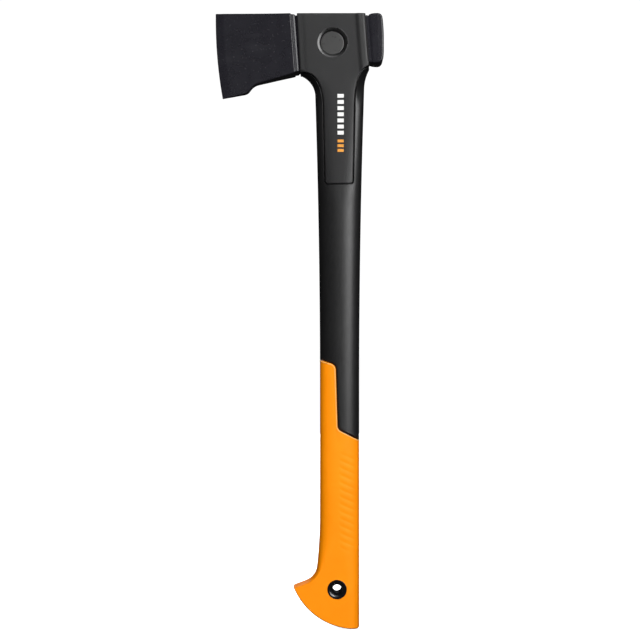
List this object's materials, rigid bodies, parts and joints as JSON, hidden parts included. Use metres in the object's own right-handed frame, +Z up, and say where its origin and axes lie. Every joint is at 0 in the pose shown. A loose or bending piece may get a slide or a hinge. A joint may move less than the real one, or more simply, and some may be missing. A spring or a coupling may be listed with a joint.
{
  "type": "splitting axe",
  "caption": "Axe with a black-coated wedge head and hammer poll, moulded on a hollow composite handle with a soft hooked grip and a hang hole.",
  "frame": {"origin": "centre of the hang hole's axis at the middle of the handle's thickness", "axes": "+Z up the handle towards the head, -X towards the cutting edge, +X towards the poll, Y across the two flat sides, along the hang hole"},
  "size_m": [0.1676, 0.034, 0.614],
  "materials": {
    "coated_steel": "satin black anti-friction coating on forged steel",
    "collar_nylon": "fine matt moulded texture, glass-filled nylon",
    "plug_nylon": "matt moulded nylon",
    "shaft_nylon": "satin glass-filled nylon",
    "soft_grip": "matt orange thermoplastic rubber with shallow ribs",
    "bushing_nylon": "polished black nylon",
    "white_print": "white pad print",
    "orange_print": "orange pad print"
  },
  "bodies": {
    "root": {"axe_head": "coated_steel", "head_collar": "collar_nylon", "head_lock_plug": "plug_nylon", "shaft": "shaft_nylon", "shaft_end_plug": "shaft_nylon", "grip": "soft_grip", "hang_hole_bushing": "bushing_nylon", "white_marks": "white_print", "orange_marks": "orange_print"}
  },
  "joints": []
}
